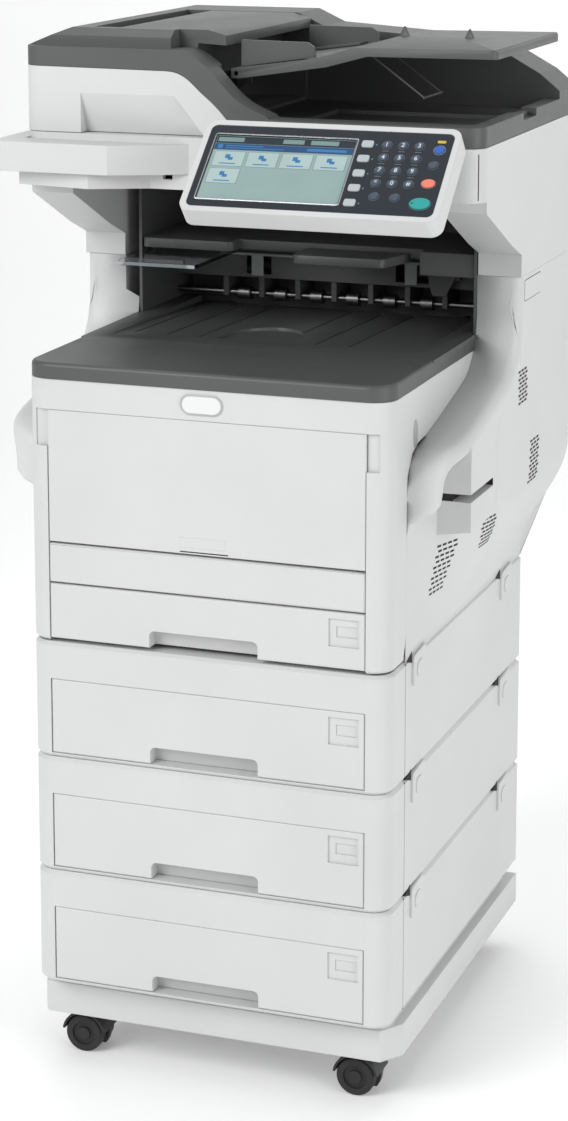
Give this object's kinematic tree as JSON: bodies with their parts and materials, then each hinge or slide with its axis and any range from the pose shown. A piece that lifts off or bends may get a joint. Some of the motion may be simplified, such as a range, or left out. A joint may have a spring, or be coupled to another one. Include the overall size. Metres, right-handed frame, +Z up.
{
  "type": "photocopier",
  "caption": "Floor-standing multifunction photocopier: stacked paper drawers, output deck below a raised scanner, tilting panel, document feeder, swivel casters.",
  "frame": {"origin": "centre of the bounding box at floor level", "axes": "+Z up, +Y towards the back of the machine, +X to the right as seen from the front"},
  "size_m": [0.6066, 0.6054, 1.2625],
  "materials": {
    "white_plastic": "satin moulded ABS with a fine texture",
    "grey_plastic": "satin moulded plastic",
    "charcoal_plastic": "fine grained dark grey moulded plastic",
    "black_plastic": "moulded black plastic",
    "black_rubber": "moulded rubber",
    "steel": "zinc plated sheet and ground shaft",
    "clear_plastic": "clear acrylic",
    "platen": "flat float glass",
    "panel_gloss": "glossy dark bezel",
    "screen": "touch screen under a clear film",
    "key_dark": "silicone key",
    "key_grey": "satin key cap",
    "key_blue": "satin key cap",
    "key_red": "satin key cap",
    "key_teal": "satin key cap"
  },
  "bodies": {
    "base": {"caster_base": "white_plastic", "tray_housing_2": "white_plastic", "tray_housing_3": "white_plastic", "tray_housing_4": "white_plastic", "main_frame": "steel", "front_fascia": "white_plastic", "left_side_cover": "white_plastic", "right_side_cover": "white_plastic", "rear_cover": "white_plastic", "fuser_unit": "black_plastic", "image_units": "black_plastic", "transfer_belt_unit": "black_plastic", "exit_frame": "charcoal_plastic", "exit_shelf": "charcoal_plastic", "scanner_housing": "white_plastic", "platen_glass": "platen"},
    "front_cover": {"front_cover": "white_plastic", "front_cover_cap": "charcoal_plastic"},
    "mp_tray": {"mp_tray": "white_plastic"},
    "tray_open_button": {"tray_open_button": "grey_plastic"},
    "top_cover": {"top_cover": "charcoal_plastic"},
    "exit_rollers": {"exit_rollers": "steel"},
    "paper_flaps": {"paper_flaps": "grey_plastic"},
    "clear_extension": {"clear_extension": "clear_plastic"},
    "scan_carriage": {"scan_carriage": "black_plastic"},
    "lid": {"lid": "charcoal_plastic", "lid_front_panel": "white_plastic"},
    "feeder_cover": {"adf_cover": "charcoal_plastic"},
    "feeder_roller": {"adf_rollers": "black_rubber"},
    "document_tray": {"document_tray": "charcoal_plastic"},
    "front_guide": {"document_guide_front": "charcoal_plastic"},
    "rear_guide": {"document_guide_rear": "charcoal_plastic"},
    "panel": {"panel_housing": "white_plastic", "panel_face": "panel_gloss", "touch_screen": "screen"},
    "number_keys": {"number_keys": "key_dark"},
    "power_key": {"power_key": "key_blue"},
    "stop_key": {"stop_key": "key_red"},
    "start_key": {"start_key": "key_teal"},
    "mode_key_1": {"mode_key_1": "key_grey"},
    "mode_key_2": {"mode_key_2": "key_grey"},
    "mode_key_3": {"mode_key_3": "key_grey"},
    "mode_key_4": {"mode_key_4": "key_grey"},
    "mode_key_5": {"mode_key_5": "key_grey"},
    "drawer_1": {"drawer_front_1": "white_plastic", "paper_tray_1": "grey_plastic"},
    "drawer_2": {"drawer_front_2": "white_plastic", "paper_tray_2": "grey_plastic"},
    "drawer_3": {"drawer_front_3": "white_plastic", "paper_tray_3": "grey_plastic"},
    "drawer_4": {"drawer_front_4": "white_plastic", "paper_tray_4": "grey_plastic"},
    "caster_front_left": {"caster_fork_front_left": "black_plastic"},
    "wheels_front_left": {"caster_wheels_front_left": "black_rubber"},
    "caster_front_right": {"caster_fork_front_right": "black_plastic"},
    "wheels_front_right": {"caster_wheels_front_right": "black_rubber"},
    "caster_rear_left": {"caster_fork_rear_left": "black_plastic"},
    "wheels_rear_left": {"caster_wheels_rear_left": "black_rubber"},
    "caster_rear_right": {"caster_fork_rear_right": "black_plastic"},
    "wheels_rear_right": {"caster_wheels_rear_right": "black_rubber"}
  },
  "joints": [
    {"name": "swivel_front_left", "type": "hinge", "parent": "base", "child": "caster_front_left", "pos_m": [-0.15625, -0.22125, 0.06], "axis": [0, 0, 1], "continuous": true},
    {"name": "wheels_front_left", "type": "hinge", "parent": "caster_front_left", "child": "wheels_front_left", "pos_m": [-0.16625, -0.22125, 0.024], "axis": [0, 1, 0], "continuous": true},
    {"name": "swivel_front_right", "type": "hinge", "parent": "base", "child": "caster_front_right", "pos_m": [0.19975, -0.22125, 0.06], "axis": [0, 0, 1], "continuous": true},
    {"name": "wheels_front_right", "type": "hinge", "parent": "caster_front_right", "child": "wheels_front_right", "pos_m": [0.18975, -0.22125, 0.024], "axis": [0, 1, 0], "continuous": true},
    {"name": "swivel_rear_left", "type": "hinge", "parent": "base", "child": "caster_rear_left", "pos_m": [-0.15625, 0.22675, 0.06], "axis": [0, 0, 1], "continuous": true},
    {"name": "wheels_rear_left", "type": "hinge", "parent": "caster_rear_left", "child": "wheels_rear_left", "pos_m": [-0.16625, 0.22675, 0.024], "axis": [0, 1, 0], "continuous": true},
    {"name": "swivel_rear_right", "type": "hinge", "parent": "base", "child": "caster_rear_right", "pos_m": [0.19975, 0.22675, 0.06], "axis": [0, 0, 1], "continuous": true},
    {"name": "wheels_rear_right", "type": "hinge", "parent": "caster_rear_right", "child": "wheels_rear_right", "pos_m": [0.18975, 0.22675, 0.024], "axis": [0, 1, 0], "continuous": true},
    {"name": "drawer_1", "type": "slide", "parent": "base", "child": "drawer_1", "axis": [0, -1, 0], "range_m": [0, 0.36]},
    {"name": "drawer_2", "type": "slide", "parent": "base", "child": "drawer_2", "axis": [0, -1, 0], "range_m": [0, 0.36]},
    {"name": "drawer_3", "type": "slide", "parent": "base", "child": "drawer_3", "axis": [0, -1, 0], "range_m": [0, 0.36]},
    {"name": "drawer_4", "type": "slide", "parent": "base", "child": "drawer_4", "axis": [0, -1, 0], "range_m": [0, 0.36]},
    {"name": "front_cover", "type": "hinge", "parent": "base", "child": "front_cover", "pos_m": [0.02175, -0.29225, 0.562], "axis": [1, 0, 0], "range_deg": [0, 42]},
    {"name": "mp_tray", "type": "hinge", "parent": "front_cover", "child": "mp_tray", "pos_m": [0.02175, -0.29625, 0.676], "axis": [-1, 0, 0], "range_deg": [-78, 0]},
    {"name": "tray_open_button", "type": "slide", "parent": "front_cover", "child": "tray_open_button", "axis": [-1, 0, 0], "range_m": [0, 0.002], "stiffness_N_per_m": 400},
    {"name": "top_cover", "type": "hinge", "parent": "base", "child": "top_cover", "pos_m": [0.02175, 0.19475, 0.8718], "axis": [-1, 0, 0], "range_deg": [0, 8]},
    {"name": "exit_rollers", "type": "hinge", "parent": "base", "child": "exit_rollers", "pos_m": [0.02175, 0.16875, 0.898], "axis": [1, 0, 0], "continuous": true},
    {"name": "paper_flaps", "type": "hinge", "parent": "base", "child": "paper_flaps", "pos_m": [0.02175, 0.14575, 0.953], "axis": [-1, 0, 0], "range_deg": [0, 50]},
    {"name": "clear_extension", "type": "slide", "parent": "base", "child": "clear_extension", "axis": [0, -1, 0], "range_m": [0, 0.055]},
    {"name": "scan_carriage", "type": "slide", "parent": "base", "child": "scan_carriage", "axis": [1, 0, 0], "range_m": [0, 0.38]},
    {"name": "lid", "type": "hinge", "parent": "base", "child": "lid", "pos_m": [0.02175, 0.29875, 1.1422], "axis": [-1, 0, 0], "range_deg": [0, 60]},
    {"name": "feeder_cover", "type": "hinge", "parent": "lid", "child": "feeder_cover", "pos_m": [-0.19225, 0.05875, 1.249], "axis": [0, -1, 0], "range_deg": [0, 75]},
    {"name": "feeder_roller", "type": "hinge", "parent": "feeder_cover", "child": "feeder_roller", "pos_m": [-0.09025, 0.06375, 1.184], "axis": [0, 1, 0], "continuous": true},
    {"name": "document_tray", "type": "hinge", "parent": "lid", "child": "document_tray", "pos_m": [-0.02225, 0.06375, 1.21], "axis": [0, -1, 0], "range_deg": [0, 12]},
    {"name": "front_guide", "type": "slide", "parent": "document_tray", "child": "front_guide", "axis": [0, 1, 0], "range_m": [0, 0.045]},
    {"name": "rear_guide", "type": "slide", "parent": "document_tray", "child": "rear_guide", "axis": [0, 1, 0], "range_m": [-0.045, 0]},
    {"name": "panel", "type": "hinge", "parent": "base", "child": "panel", "pos_m": [0.13675, -0.17125, 1.092], "axis": [-1, 0, 0], "range_deg": [0, 20]},
    {"name": "number_keys", "type": "slide", "parent": "panel", "child": "number_keys", "axis": [0, 0.6691, -0.7431], "range_m": [0, 0.0012], "stiffness_N_per_m": 300},
    {"name": "power_key", "type": "slide", "parent": "panel", "child": "power_key", "axis": [0, 0.6691, -0.7431], "range_m": [0, 0.0012], "stiffness_N_per_m": 300},
    {"name": "stop_key", "type": "slide", "parent": "panel", "child": "stop_key", "axis": [0, 0.6691, -0.7431], "range_m": [0, 0.0012], "stiffness_N_per_m": 300},
    {"name": "start_key", "type": "slide", "parent": "panel", "child": "start_key", "axis": [0, 0.6691, -0.7431], "range_m": [0, 0.0012], "stiffness_N_per_m": 300},
    {"name": "mode_key_1", "type": "slide", "parent": "panel", "child": "mode_key_1", "axis": [0, 0.6691, -0.7431], "range_m": [0, 0.0012], "stiffness_N_per_m": 300},
    {"name": "mode_key_2", "type": "slide", "parent": "panel", "child": "mode_key_2", "axis": [0, 0.6691, -0.7431], "range_m": [0, 0.0012], "stiffness_N_per_m": 300},
    {"name": "mode_key_3", "type": "slide", "parent": "panel", "child": "mode_key_3", "axis": [0, 0.6691, -0.7431], "range_m": [0, 0.0012], "stiffness_N_per_m": 300},
    {"name": "mode_key_4", "type": "slide", "parent": "panel", "child": "mode_key_4", "axis": [0, 0.6691, -0.7431], "range_m": [0, 0.0012], "stiffness_N_per_m": 300},
    {"name": "mode_key_5", "type": "slide", "parent": "panel", "child": "mode_key_5", "axis": [0, 0.6691, -0.7431], "range_m": [0, 0.0012], "stiffness_N_per_m": 300}
  ],
  "couplings": [
    {"joint": "rear_guide", "follows": "front_guide", "ratio": -1}
  ]
}
